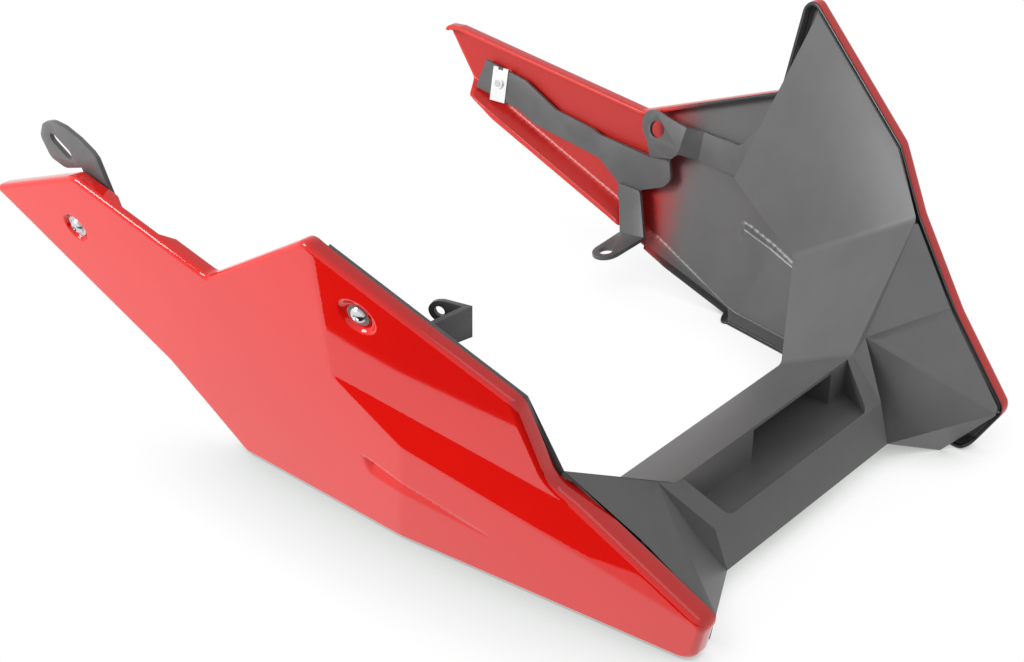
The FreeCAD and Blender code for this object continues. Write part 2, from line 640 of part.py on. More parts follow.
def clip_nut(xz, toward, reach, barrel):
    """Spring steel clip pushed over the edge of a bracket that lies reach away from the screw."""
    point, normal = skin_frame(xz)
    inward = normal * -1
    way = V(toward[0], 0, toward[1])
    way = (way - normal * way.dot(normal)).normalize()
    across = way.cross(inward).normalize()

    def slab(low, high, start, end, wide):
        corner = point + inward * low + way * start - across * (wide / 2)
        loop = [corner, corner + way * (end - start)]
        loop += [loop[1] + across * wide, corner + across * wide]
        return Part.Face(Part.makePolygon(loop + [corner])).extrude(inward * (high - low))

    end = reach + CLIP_LEAF
    front = slab(PLATE_IN, PLATE_IN + CLIP_LEAF, -CLIP_TAIL, end, CLIP_WIDTH)
    back = slab(PLATE_OUT - CLIP_LEAF, PLATE_OUT, -CLIP_TAIL + 2.0, end, CLIP_WIDTH)
    bend = slab(PLATE_OUT - CLIP_LEAF, PLATE_IN + CLIP_LEAF, reach, end, CLIP_WIDTH)
    notch = slab(PLATE_IN - 1, PLATE_IN + 3, -CLIP_TAIL - 1, -CLIP_TAIL + 2.0, CLIP_WIDTH / 3)
    collar = Part.makeCylinder(CLIP_BARREL / 2, barrel - PLATE_IN, point + inward * PLATE_IN, inward)
    hole = Part.makeCylinder(SCREW / 2, 30.0, point, inward)
    return front.fuse(back).fuse(bend).fuse(collar).cut(notch).cut(hole).removeSplitter()


def build():
    parts = {}
    plate_back = DIMPLE_DEPTH + WALL
    right_screws = [(RIGHT_REAR_SCREW, REAR_DIMPLE, plate_back),
                    (RIGHT_FRONT_SCREW, FRONT_DIMPLE, WING_DEPTH - KEEL_WALL)]
    left_screws = [(LEFT_REAR_SCREW, REAR_DIMPLE, plate_back),
                   (LEFT_FRONT_SCREW, FRONT_DIMPLE, plate_back)]
    parts["right_side_panel"] = mirrored(
        side_panel(RIGHT_OUTLINE, RIGHT_TURNS, RIM_DEPTH, RIGHT_FLOOR_START, RIGHT_OPEN, right_screws, True))
    parts["left_side_panel"] = side_panel(LEFT_OUTLINE, LEFT_TURNS, LIP_DEPTH, LEFT_FLOOR_START, LEFT_OPEN,
                                          left_screws, False)
    parts["front_keel"] = keel([parts["right_side_panel"], parts["left_side_panel"]])
    parts["right_rear_bracket"] = mirrored(right_rear_bracket())
    parts["right_front_bracket"] = mirrored(right_front_bracket())
    parts["left_main_bracket"] = left_main_bracket()
    parts["left_lower_leg"] = left_lower_leg()
    parts["rear_panel_screws"] = Part.makeCompound([
        mirrored(panel_screw(RIGHT_REAR_SCREW, REAR_TIP)), panel_screw(LEFT_REAR_SCREW, REAR_TIP)])
    parts["right_front_screw"] = mirrored(panel_screw(RIGHT_FRONT_SCREW, RIGHT_FRONT_TIP))
    parts["left_front_screw"] = panel_screw(LEFT_FRONT_SCREW, LEFT_FRONT_TIP)
    parts["panel_washers"] = Part.makeCompound([
        mirrored(panel_washer(RIGHT_REAR_SCREW)), mirrored(panel_washer(RIGHT_FRONT_SCREW)),
        panel_washer(LEFT_REAR_SCREW), panel_washer(LEFT_FRONT_SCREW)])
    parts["right_rear_clip_nut"] = mirrored(clip_nut(RIGHT_REAR_SCREW, (0.0, -1.0), 16.4, REAR_BARREL))
    parts["left_rear_clip_nut"] = clip_nut(LEFT_REAR_SCREW, (0.07, -1.0), 14.4, REAR_BARREL)
    parts["left_front_clip_nut"] = clip_nut(LEFT_FRONT_SCREW, (-0.9, 0.45), 11.5, FRONT_BARREL)
    parts["right_front_weld_nut"] = mirrored(
        weld_nut(RIGHT_FRONT_SCREW, WING_DEPTH + STEEL))
    return on_origin(parts)


def on_origin(parts):
    """Moves everything so that the origin is the middle of the footprint, on the floor."""
    bounds = Part.makeCompound(list(parts.values())).BoundBox
    shift = V(-bounds.Center.x, -bounds.Center.y, -bounds.ZMin)
    print("moved by %.3f %.3f %.3f" % (shift.x, shift.y, shift.z))
    for shape in parts.values():
        shape.translate(shift)
    return parts


def main():
    os.makedirs("parts", exist_ok=True)
    for name, shape in build().items():
        shape.exportStep("parts/" + name + ".step")
        size = shape.BoundBox
        print(name, "solids", len(shape.Solids), "valid", shape.isValid(),
              "volume %.0f" % shape.Volume, "box %.0f %.0f %.0f" % (size.XLength, size.YLength, size.ZLength))


main()
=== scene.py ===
# %% [markdown]
# The motorcycle belly pan
#
# A belly pan closes the underside of a motorcycle. This one has two moulded side panels, painted
# red outside, a black keel that joins them at the front, and folded steel brackets inside. The
# solids come from the frame, in metres, with +X to the front of the motorcycle, +Y to the rider's
# left and +Z up. The pan stands on its lower edges, on z = 0. The looks are made around them here.

# %% Load the frame
import json
import bmesh
import bpy
import numpy as np
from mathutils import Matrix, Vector
from mathutils.geometry import delaunay_2d_cdt


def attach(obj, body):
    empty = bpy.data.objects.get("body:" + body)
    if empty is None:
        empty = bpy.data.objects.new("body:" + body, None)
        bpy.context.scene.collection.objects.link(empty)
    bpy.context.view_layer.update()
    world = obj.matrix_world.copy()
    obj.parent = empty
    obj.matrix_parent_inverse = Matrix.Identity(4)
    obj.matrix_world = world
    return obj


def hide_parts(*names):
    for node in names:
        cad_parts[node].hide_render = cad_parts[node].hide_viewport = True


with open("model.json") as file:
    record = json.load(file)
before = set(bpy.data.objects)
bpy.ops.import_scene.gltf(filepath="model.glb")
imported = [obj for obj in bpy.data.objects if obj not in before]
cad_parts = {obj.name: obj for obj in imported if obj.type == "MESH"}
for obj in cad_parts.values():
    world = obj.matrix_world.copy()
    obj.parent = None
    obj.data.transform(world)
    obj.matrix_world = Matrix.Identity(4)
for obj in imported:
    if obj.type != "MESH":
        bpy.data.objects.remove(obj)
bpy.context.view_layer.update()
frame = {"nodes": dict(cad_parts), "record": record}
scene = bpy.context.scene
MM = 0.001
print("nodes:", ", ".join(sorted(frame["nodes"])))

# %% [markdown]
# The camera
#
# The photo looks down on the pan from the front right, through a lens of moderate length. Its
# place was worked out from lines that run the same way on both panels. A camera is an empty frame
# for three directions: where it looks, its right and its up. With no roll, they follow from one
# turn about the vertical and one tip downwards.

# %% Camera
CAMERA_PLACE = np.array([764.088, -880.746, 767.58]) * MM
LOOK_TURN = np.radians(131.654)
LOOK_DOWN = np.radians(31.539)
FOCAL_PIXELS = 1939.1
PHOTO_WIDTH = 1024

camera_data = bpy.data.cameras.new("camera")
camera_data.sensor_width = 36.0
camera_data.lens = FOCAL_PIXELS * camera_data.sensor_width / PHOTO_WIDTH
camera_data.clip_start = 0.05
camera_data.clip_end = 50.0
camera = bpy.data.objects.new("camera", camera_data)
scene.collection.objects.link(camera)
scene.camera = camera
forward = Vector((np.cos(LOOK_DOWN) * np.cos(LOOK_TURN), np.cos(LOOK_DOWN) * np.sin(LOOK_TURN),
                  -np.sin(LOOK_DOWN)))
camera.location = CAMERA_PLACE
camera.rotation_mode = "QUATERNION"
camera.rotation_quaternion = forward.to_track_quat("-Z", "Y")
print("lens %.1f mm" % camera_data.lens)


# %% [markdown]
# Helpers for materials
#
# Materials are small graphs of nodes. One helper makes an empty graph, a second one adds a node and
# sets its sockets in one line, and a third one turns a number into a run of colours. With them each
# finish below reads as a short list.

# %% Helpers for materials
def node_material(name):
    """New material with an empty node tree, and its output node."""
    material = bpy.data.materials.new(name)
    material.use_nodes = True
    tree = material.node_tree
    tree.nodes.clear()
    return material, tree, tree.nodes.new("ShaderNodeOutputMaterial")


def add(tree, kind, settings=None, **sockets):
    """Node of a kind, with its settings and the values or links of its sockets."""
    node = tree.nodes.new("ShaderNode" + kind)
    for key, value in (settings or {}).items():
        setattr(node, key, value)
    for key, value in sockets.items():
        socket = node.inputs[int(key[1:])] if key[1:].isdigit() else node.inputs[key.replace("_", " ")]
        if isinstance(value, bpy.types.NodeSocket):
            tree.links.new(value, socket)
        else:
            socket.default_value = value
    return node


def white(level):
    """Opaque grey, from 0 for black to 1 for white."""
    return (level, level, level, 1.0)


def tone_ramp(tree, number, tones):
    """Colour that follows a number through tones, each a place from 0 to 1 and its colour."""
    ramp = add(tree, "ValToRGB", Fac=number)
    elements = ramp.color_ramp.elements
    for place, _ in tones[1:-1]:
        elements.new(place)
    for element, (place, color) in zip(elements, tones):
        element.position = place
        element.color = (*color, 1.0)
    return ramp.outputs["Color"]


# %% [markdown]
# The floor
#
# The pan lies on a white studio floor that runs on into a white background, so only its contact
# shadow shows where the floor is. The camera sees plain white there, darkened by ambient
# occlusion, which looks how closed in each spot is. Mirror rays see plain white. All other rays
# see white paper that throws light back up at the pan. From below the floor is clear, so that the
# underside can be looked at.

# %% Floor
FLOOR_HALF = 3.0
FLOOR_DROP = 0.0001
PAPER_LEVEL = 0.82
SHADOW_REACH = 0.11
SHADOW_SAMPLES = 16
# How open a spot is, from 0 to 1, and what the camera sees there
SHADOW_TONES = [(0.12, (0.30, 0.32, 0.30)), (0.45, (0.80, 0.81, 0.80)), (0.80, (1.0, 1.0, 1.0))]

floor_mesh = bpy.data.meshes.new("floor")
corners = np.array([(-1, -1, 0), (1, -1, 0), (1, 1, 0), (-1, 1, 0)]) * FLOOR_HALF
corners[:, 2] = -FLOOR_DROP
floor_mesh.from_pydata(corners.tolist(), [], [(0, 1, 2, 3)])
floor = bpy.data.objects.new("floor", floor_mesh)
scene.collection.objects.link(floor)

floor_material, tree, out = node_material("floor")
paper = add(tree, "BsdfDiffuse", Color=white(PAPER_LEVEL))
openness = add(tree, "AmbientOcclusion", {"samples": SHADOW_SAMPLES}, Distance=SHADOW_REACH)
seen_floor = add(tree, "Emission", Color=tone_ramp(tree, openness.outputs["AO"], SHADOW_TONES), Strength=1.0)
mirror_floor = add(tree, "Emission", Color=white(1.0), Strength=1.0)
rays = add(tree, "LightPath")
mirrors = add(tree, "Math", {"operation": "MAXIMUM"}, _0=rays.outputs["Is Glossy Ray"],
              _1=rays.outputs["Is Transmission Ray"])
bounce = add(tree, "MixShader", Fac=mirrors.outputs[0], _1=paper.outputs[0], _2=mirror_floor.outputs[0])
choose = add(tree, "MixShader", Fac=rays.outputs["Is Camera Ray"], _1=bounce.outputs[0],
             _2=seen_floor.outputs[0])
seen_from = add(tree, "NewGeometry")
clear_back = add(tree, "BsdfTransparent")
one_way = add(tree, "MixShader", Fac=seen_from.outputs["Backfacing"], _1=choose.outputs[0],
              _2=clear_back.outputs[0])
tree.links.new(one_way.outputs[0], out.inputs["Surface"])
floor_mesh.materials.append(floor_material)
print("floor %.0f m wide" % (2 * FLOOR_HALF))

# %% [markdown]
# The dark card
#
# Gloss paint shows what it mirrors. The lower faces of the pan mirror the floor beside it, so a
# photographer lays a dark card there to keep the red deep. Only mirror rays see it. Its edge
# nearest to the pan sets where the dark red ends in the paint.

# %% Dark card
CARD_LEVEL = 0.02
CARD_HEIGHT = 0.0004
CARD_EDGE = [(-75, -312), (-42, -301), (-1, -289), (89, -269), (190, -255), (420, -205), (420, -700),
             (-260, -700), (-112, -368)]

card_corners = [(x * MM, y * MM, CARD_HEIGHT) for x, y in CARD_EDGE]
card_face = list(range(len(CARD_EDGE)))[::-1]
card_mesh = bpy.data.meshes.new("dark_card")
card_mesh.from_pydata(card_corners, [], [card_face])
card = bpy.data.objects.new("dark_card", card_mesh)
scene.collection.objects.link(card)
card.visible_camera = False
card.visible_diffuse = False
card.visible_shadow = False
card.visible_transmission = False
card_material, tree, out = node_material("dark_card")
card_tone = add(tree, "Emission", Color=white(CARD_LEVEL), Strength=1.0)
tree.links.new(card_tone.outputs[0], out.inputs["Surface"])
card_mesh.materials.append(card_material)
print("dark card of %.2f m2" % card_mesh.polygons[0].area)

# %% [markdown]
# The light
#
# A pale sky gives most of the light, and two large soft boxes give it a direction. The world shows
# white to the camera and to mirror rays, and lights everything else more softly.

# %% World and lamps
SKY_LEVEL = 0.40
LAMP_TARGET = (0.0, 0.0, 0.1)

world = bpy.data.worlds.new("studio")
scene.world = world
world.use_nodes = True
tree = world.node_tree
tree.nodes.clear()
world_out = tree.nodes.new("ShaderNodeOutputWorld")
rays = add(tree, "LightPath")
seen = add(tree, "Math", {"operation": "MAXIMUM"}, _0=rays.outputs["Is Camera Ray"],
           _1=rays.outputs["Is Glossy Ray"])
both = add(tree, "Math", {"operation": "MAXIMUM"}, _0=seen.outputs[0],
           _1=rays.outputs["Is Transmission Ray"])
light = add(tree, "Background", Color=white(1.0), Strength=SKY_LEVEL)
backdrop = add(tree, "Background", Color=white(1.0), Strength=1.0)
choose = add(tree, "MixShader", Fac=both.outputs[0], _1=light.outputs[0], _2=backdrop.outputs[0])
tree.links.new(choose.outputs[0], world_out.inputs["Surface"])
scene.view_settings.view_transform = "Standard"


def soft_box(name, place, target, size, watts):
    """Square soft box at place that faces target, with its side and its power."""
    data = bpy.data.lights.new(name, "AREA")
    data.size = size
    data.energy = watts
    lamp = bpy.data.objects.new(name, data)
    scene.collection.objects.link(lamp)
    lamp.location = place
    aim = Vector(target) - Vector(place)
    lamp.rotation_mode = "QUATERNION"
    lamp.rotation_quaternion = aim.to_track_quat("-Z", "Y")
    print("%s: %.1f m wide, %.0f W, %.1f m away" % (name, size, watts, aim.length))


soft_box("key", place=(-1.0, -1.6, 1.2), target=LAMP_TARGET, size=0.9, watts=40.0)
soft_box("fill", place=(1.4, 0.3, 1.7), target=LAMP_TARGET, size=1.2, watts=5.0)


# %% [markdown]
# Finishes
#
# The red is a thick gloss paint: one smooth layer over a strong colour, with a hint of orange peel.
# The plastic is moulded in dark grey, with a fine grain. The brackets are steel with a satin black
# coat. The small parts are bright zinc and stainless steel. Each grain is noise on the object's own
# coordinates, so it stays on the piece, and a bump node turns it into relief.

# %% Finishes
DRIFT_WAVES = 30.0


def grain(tree, waves, height):
    """Relief from noise of so many waves a metre and a height in metres, and where it is read."""
    where = add(tree, "TexCoord").outputs["Object"]
    noise = add(tree, "TexNoise", Vector=where, Scale=waves, Detail=2.0)
    return add(tree, "Bump", Height=noise.outputs["Fac"], Distance=height).outputs[0], where


def mottled(tree, where, waves, low, high):
    """Colour that drifts between two tones over the piece."""
    noise = add(tree, "TexNoise", Vector=where, Scale=waves, Detail=4.0)
    return tone_ramp(tree, noise.outputs["Fac"], [(0.35, low), (0.65, high)])


def finish(name, low, high, roughness, waves, height, metallic=0.0, drift=DRIFT_WAVES):
    """Colour that drifts between low and high, with a grain, on one plain shader."""
    material, tree, out = node_material(name)
    bump, where = grain(tree, waves, height)
    color = mottled(tree, where, drift, low, high)
    shader = add(tree, "BsdfPrincipled", Base_Color=color, Roughness=roughness, Metallic=metallic,
                 Normal=bump)
    tree.links.new(shader.outputs[0], out.inputs["Surface"])
    return material


PAINT_LOW = (0.68, 0.006, 0.004)
PAINT_HIGH = (0.72, 0.007, 0.004)
GREY_LOW = (0.116, 0.116, 0.118)
GREY_HIGH = (0.128, 0.128, 0.130)
looks = {
    "red_gloss_plastic": finish("red_paint", PAINT_LOW, PAINT_HIGH, roughness=0.045, waves=260.0,
                                height=0.000004, drift=8.0),
    "black_plastic": finish("black_plastic", GREY_LOW, GREY_HIGH, roughness=0.42, waves=2600.0,
                            height=0.00004),
    "bracket_steel": finish("bracket_steel", (0.085, 0.085, 0.088), (0.115, 0.115, 0.118),
                            roughness=0.38, waves=1800.0, height=0.00003),
    "screw_steel": finish("screw_steel", (0.62, 0.62, 0.63), (0.74, 0.74, 0.75), roughness=0.22,
                          waves=900.0, height=0.00001, metallic=1.0),
    "washer_steel": finish("washer_steel", (0.58, 0.58, 0.59), (0.70, 0.70, 0.71), roughness=0.25,
                           waves=900.0, height=0.00001, metallic=1.0),
    "clip_steel": finish("clip_steel", (0.80, 0.80, 0.80), (0.90, 0.90, 0.89), roughness=0.30,
                         waves=700.0, height=0.00001, metallic=0.7),
}
slots = {row["node"]: row["material_slot"] for row in frame["record"]["subparts"]}
for name, node in frame["nodes"].items():
    node.data.materials.clear()
    node.data.materials.append(looks[slots[name]])
print(len(looks), "finishes")

# %% [markdown]
# The inside of a painted panel
#
# A spray gun reaches round the rear edge, so the rear of the inside is red. It thins out to a cloud
# of fine dots and then to the bare grey plastic. Noise against a ramp along X makes that cloud. The
# rim's free edge gets the same cloud, over black.

# %% Inside finish
OVERSPRAY_START = -0.075
OVERSPRAY_END = 0.005
INSIDE_WAVES = 1500.0
INSIDE_RELIEF = 0.00003
COVER = (0.85, 0.20)
DOT_WAVES = 1100.0
DOT_FADE = (-0.10, 0.16)


def oversprayed(name, low, high, red, roughness):
    """Paint at the rear that thins out along X, through fine dots, to bare plastic.

    The cover falls along X from its first value to its last. Where it is above the noise, by an
    amount that fades the edge of each dot, the red shows.
    """
    material, tree, out = node_material(name)
    bump, where = grain(tree, INSIDE_WAVES, INSIDE_RELIEF)
    split = add(tree, "SeparateXYZ", Vector=where)
    reach = add(tree, "MapRange", Value=split.outputs["X"], From_Min=OVERSPRAY_START,
                From_Max=OVERSPRAY_END, To_Min=COVER[0], To_Max=COVER[1])
    dots = add(tree, "TexNoise", Vector=where, Scale=DOT_WAVES, Detail=6.0, Roughness=0.8)
    covered = add(tree, "Math", {"operation": "SUBTRACT"}, _0=reach.outputs[0], _1=dots.outputs["Fac"])
    paint = add(tree, "MapRange", Value=covered.outputs[0], From_Min=DOT_FADE[0], From_Max=DOT_FADE[1])
    mix = add(tree, "Mix", {"data_type": "RGBA"}, Factor=paint.outputs[0],
              _6=mottled(tree, where, DRIFT_WAVES, low, high), _7=(*red, 1.0))
    shader = add(tree, "BsdfPrincipled", Base_Color=mix.outputs[2], Roughness=roughness, Normal=bump)
    tree.links.new(shader.outputs[0], out.inputs["Surface"])
    return material


inside_paint = oversprayed("inside_paint", GREY_LOW, GREY_HIGH, red=(0.52, 0.014, 0.010), roughness=0.33)
bare_edge = oversprayed("bare_edge", (0.008, 0.008, 0.008), (0.014, 0.014, 0.014), red=(0.70, 0.03, 0.02),
                        roughness=0.3)
print("overspray over %.0f mm" % ((OVERSPRAY_END - OVERSPRAY_START) / MM))

# %% [markdown]
# The skin of a side panel
#
# Each side panel is one moulding. Its skin is made of flat faces that meet in soft creases: a rear
# face, a front face, a lower band and a wedge. Seen from the side, each face gives its distance
# from the middle of the motorcycle as a plane, y = a + b x + c z. Where the rear and the front
# faces meet, the skin is the smaller one, so one formula gives the whole skin. A rounded minimum
# blends the two near the crease, which is the radius of the mould. From here on, a panel is worked
# out in millimetres, and it is moved to the frame's origin at its end.

# %% Skin planes
# a, b and c of each face
REAR = (185.4544, -0.0131, 0.2666)
BAND = (191.065, -0.1274, 0.3018)
FRONT = (186.6494, -0.1459, 0.2899)
WEDGE = (225.2096, -0.2098, 0.0203)
# The skin leans out, so a millimetre through it is this long along Y, and so is one of height on it
SLANT = 1.035
WALL = 3.0
# How far apart two faces are where the blend between them begins
CREASE_BLEND = 0.25
RIDGE_BLEND = 0.45
TURN_BLEND = 1.0
STRIP_BLEND = 2.0


def fold_plane(x0, z0, x1, z1, rate):
    """The rear plane tipped in at a rate below a line of the side view.

    It is the rear plane plus rate times the height above that line.
    """
    slope = (z1 - z0) / (x1 - x0)
    a, b, c = REAR
    return (a - rate * (z0 - slope * x0), b - rate * slope, c + rate)


def face_at(plane, x, z, depth):
    """Distance from the middle plane, of a face moved in along its normal by depth.

    Along Y that move is depth times the length of the plane's normal (b, -1, c).
    """
    a, b, c = plane
    return a + b * x + c * z - depth * np.sqrt(1.0 + b * b + c * c)


def round_min(p, q, blend):
    """The smaller of p and q, less a smooth hump where they differ by under blend."""
    hump = np.maximum(blend - np.abs(p - q), 0.0) / blend
    return np.minimum(p, q) - hump * hump * blend / 4.0


def skin(x, z, depth, folds, lip):
    """Distance from the middle plane, of the skin moved in by depth.

    The lower face is the smaller of the band and the wedge. The front is the larger of the front
    face and the lower one, and the whole is the smaller of the rear face and the front. Two strips
    along the tail, the larger of which counts, cut that down, but never by more than the lip.
    """
    lower = round_min(face_at(BAND, x, z, depth), face_at(WEDGE, x, z, depth), RIDGE_BLEND)
    ahead = -round_min(-face_at(FRONT, x, z, depth), -lower, CREASE_BLEND)
    whole = round_min(face_at(REAR, x, z, depth), ahead, CREASE_BLEND)
    rear_strip, front_strip = (face_at(fold, x, z, depth) for fold in folds)
    strips = -round_min(-rear_strip, -front_strip, TURN_BLEND)
    deepest = whole + SLANT * depth - SLANT * lip
    return np.maximum(round_min(whole, strips, STRIP_BLEND), deepest)


REAR_LEAN, FRONT_LEAN = (np.degrees(np.arctan(plane[2])) for plane in (REAR, FRONT))
print("the rear face leans out by %.1f degrees, the front face by %.1f" % (REAR_LEAN, FRONT_LEAN))

# %% [markdown]
# What is pressed into the skin
#
# Each screw sits at the bottom of a round dimple, so that its head doesn't stand proud. A long
# triangular scoop in the lower band ends in a sharp step at its rear. Both are depths that are
# taken off the skin: the dimple's depth follows the distance from its centre, and the scoop's
# follows the height above its lower edge.

# %% Dimples and scoop
SCOOP_TOP = np.array([37.0, 69.0])
SCOOP_LOW = np.array([38.0, 54.0])
SCOOP_TIP = np.array([139.0, 41.0])
SCOOP_SLOPE = 0.2815
# Width of the step at the scoop's upper edge and how far above that edge it starts
SCOOP_STEP = 1.3
SCOOP_STEP_START = 0.4
# Run of the scoop's rear end, and where its formula stops below its lower edge
SCOOP_END = 6.0
SCOOP_BELOW = -2.0
SEAT_RADIUS = 9.0
DIMPLE_DEPTH = 3.0
HOLE_RADIUS = 3.3


def smooth(t):
    """Smooth step: 0 up to t = 0, 1 from t = 1, and 3 t squared less 2 t cubed between them."""
    t = np.clip(t, 0.0, 1.0)
    return t * t * (3.0 - 2.0 * t)


def side_of(start, end, x, z):
    """Distance to the left of the line from start to end."""
    way = (end - start) / np.linalg.norm(end - start)
    return way[0] * (z - start[1]) - way[1] * (x - start[0])


def from_screw(spot, x, z):
    """Distance from a screw's axis, measured on the slanted skin."""
    return np.hypot(x - spot[0], (z - spot[1]) * SLANT)


def pressed(x, z, screws, grow=0.0):
    """Depth of the dimples and the scoop, grown sideways by grow on the inner face.

    The scoop's depth is its slope times the height above its lower edge, times a smooth step at
    its upper edge and one at its rear end. A dimple's depth is full on the seat and falls to
    nothing at the dimple's rim, by the same smooth step.
    """
    below_top = side_of(SCOOP_TIP, SCOOP_TOP, x, z)
    above_low = side_of(SCOOP_LOW, SCOOP_TIP, x, z)
    run, rise = SCOOP_TIP - SCOOP_LOW
    low_edge = SCOOP_LOW[1] + rise * (x - SCOOP_LOW[0]) / run
    wedge_cut = np.maximum(z - low_edge, 0.0) * SCOOP_SLOPE
    step = smooth((below_top + SCOOP_STEP_START + grow) / SCOOP_STEP)
    end = smooth((x - SCOOP_TOP[0] + grow) / SCOOP_END)
    total = wedge_cut * step * end * (above_low > SCOOP_BELOW)
    for spot in screws:
        wide = spot[2]
        total = total + DIMPLE_DEPTH * smooth((wide + grow - from_screw(spot, x, z)) / (wide - SEAT_RADIUS))
    return total


print("scoop %.0f mm long" % np.linalg.norm(SCOOP_TIP - SCOOP_TOP))

# %% [markdown]
# The outline of a side panel
#
# Seen from the side, the panel is a polygon whose corners are arcs. Each arc touches both of its
# straight sides. The outline is sampled every couple of millimetres, with the inward direction at
# each sample, because the rim is built on it. No corner has a smaller radius than the rim's fillet,
# so that the rows inside it don't cross.

# %% Rounded outline
STEP = 1.9
TURN_STEP = 0.16
LEAST_RADIUS = 4.4


def corner_arcs(points):
    """Start, end, centre and radius of the arc at each corner of a polygon of (x, z, radius).

    The centre lies on the line that halves the corner, the radius over the sine of the half corner
    away. The arc touches both sides the radius over the tangent of the half corner away.
    """
    arcs = []
    spots, radii = points[:, :2], np.maximum(points[:, 2], LEAST_RADIUS)
    for i, (here, radius) in enumerate(zip(spots, radii)):
        before, after = spots[i - 1], spots[(i + 1) % len(spots)]
        back = (before - here) / np.linalg.norm(before - here)
        ahead = (after - here) / np.linalg.norm(after - here)
        half = np.arccos(np.clip(back @ ahead, -1, 1)) / 2
        centre = here + (back + ahead) / np.linalg.norm(back + ahead) * radius / np.sin(half)
        start = here + back * radius / np.tan(half)
        stop = here + ahead * radius / np.tan(half)
        arcs.append((start, stop, centre, radius))
    return arcs


def rounded_outline(points):
    """Samples and inward normals of a closed polygon of (x, z, radius), clockwise from the side.

    On an arc they are the centre plus the radius times the cosine and sine of a turning angle, and
    on a straight side equal steps from one arc to the next.
    """
    arcs = corner_arcs(np.array(points, float))
    spots, inwards = [], []
    for i, (start, stop, centre, radius) in enumerate(arcs):
        turn = np.arctan2(*(start - centre)[::-1]), np.arctan2(*(stop - centre)[::-1])
        sweep = (turn[1] - turn[0] + np.pi) % (2 * np.pi) - np.pi
        steps = max(int(abs(sweep) * radius / STEP), int(abs(sweep) / TURN_STEP), 2)
        angle = turn[0] + sweep * np.linspace(0, 1, steps + 1)
        rim = np.stack([np.cos(angle), np.sin(angle)], 1)
        spots.append(centre + rim * radius)
        inwards.append(-rim if sweep < 0 else rim)
        following = arcs[(i + 1) % len(arcs)][0]
        length = np.linalg.norm(following - stop)
        parts = max(int(length / STEP), 1)
        t = np.linspace(0, 1, parts + 1)[1:-1, None]
        spots.append(stop + (following - stop) * t)
        way = (following - stop) / max(length, 1e-9)
        inwards.append(np.repeat([[way[1], -way[0]]], parts - 1, 0))
    return np.concatenate(spots), np.concatenate(inwards)


square = rounded_outline([(0, 0, 10), (0, 100, 10), (100, 100, 10), (100, 0, 10)])[0]
print("a square of 100 mm with 10 mm corners has", len(square), "samples")

# %% [markdown]
# The rim's profile
#
# All round the outline the skin turns in through a small fillet and ends as a rim, with a rounded
# free edge. The profile of that rim is carried along the outline as rows of (inset, depth). Where
# the tail's edge is left open, the rows fold into a plain rounded edge instead. A weight along the
# outline blends one profile into the other.

# %% Rim rows
RIM = 11.0
LIP = 15.4
FILLET = 4.0
OPEN_FILLET = 1.1
FILLET_TURNS = np.radians([2, 8, 18, 36, 54, 72, 90])
EDGE = 0.7
# Parts of the way down the rim's outer side
SIDE_PARTS = (0.5, 1.0)
# Inset, and depth past the rim's end, round its free edge
RIM_EDGE = [(0.2, -0.2), (EDGE, 0.0), (WALL - EDGE, 0.0), (WALL - 0.2, -0.2), (WALL, -EDGE)]
# Inset and depth of the same rows on an open edge
OPEN_EDGE = [(0.0, 1.5), (0.0, 2.2), (0.2, 2.7), (EDGE, WALL), (1.3, WALL), (1.9, WALL), (2.4, WALL)]
# Inset and depth from the rim's inner side round to the inner face
INNER_FILLET = [(WALL, 4.0), (WALL + 0.15, 3.5), (WALL + 0.5, 3.12), (WALL + 0.86, 3.01)]
PAINTED_BANDS = len(FILLET_TURNS) + len(SIDE_PARTS)
EDGE_BANDS = len(RIM_EDGE)


def rim_rows(depth, weight):
    """Rows of (inset, depth), each an array along the outline, from the skin to the inner face.

    The fillet's rows are the radius times one less the sine, and one less the cosine, of a turn.
    Each row is the rim's value times the weight plus the open edge's value times the rest.
    """
    radius = FILLET * weight + OPEN_FILLET * (1 - weight)
    rows = [(radius * (1 - np.sin(turn)), radius * (1 - np.cos(turn))) for turn in FILLET_TURNS]
    closed = [(0.0, FILLET + (depth - EDGE - FILLET) * part) for part in SIDE_PARTS]
    closed += [(inset, depth + past) for inset, past in RIM_EDGE]
    for (inset, deep), (open_inset, open_deep) in zip(closed, OPEN_EDGE):
        rows.append((inset * weight + open_inset * (1 - weight), deep * weight + open_deep * (1 - weight)))
    rows += [(inset, deep * weight + WALL * (1 - weight)) for inset, deep in INNER_FILLET]
    return rows


def smoothed(values, width=2):
    """Running mean over width neighbours on each side, along the closed outline."""
    kernel = np.ones(2 * width + 1) / (2 * width + 1)
    wrapped = np.concatenate([values[-width:], values, values[:width]])
    return np.convolve(wrapped, kernel, "valid")


print(len(rim_rows(RIM, 1.0)), "rows in the rim")

# %% [markdown]
# The net
#
# The middle of the panel is a net of small triangles over the side view, finer than any of its
# shapes. Its points are a staggered grid, with closer rows along each crease, so that a crease
# falls on the sides of triangles, and a row just inside the seam where the rim begins.

# %% Points of the net
# Pitch of the grid along x and between its rows
GRID = 1.75
ROW_PITCH = GRID * 0.9
# Pitch of a crease's points, their rows beside it, and how near two of them count as one
RIBBON_STEP = 1.8
RIBBON_ROWS = (-1.3, 0.0, 1.3)
SAME_SPOT = 0.9
# The seam lies where the rim's fillet begins, and the second row this far inside it
SEAM_INSET = FILLET
SECOND_ROW = 1.2
# Least gaps: from the grid to a crease and to the seam, and from the second row to the seam
CREASE_GAP = 2.1
SEAM_GAP = 2.1
SECOND_GAP = 1.1
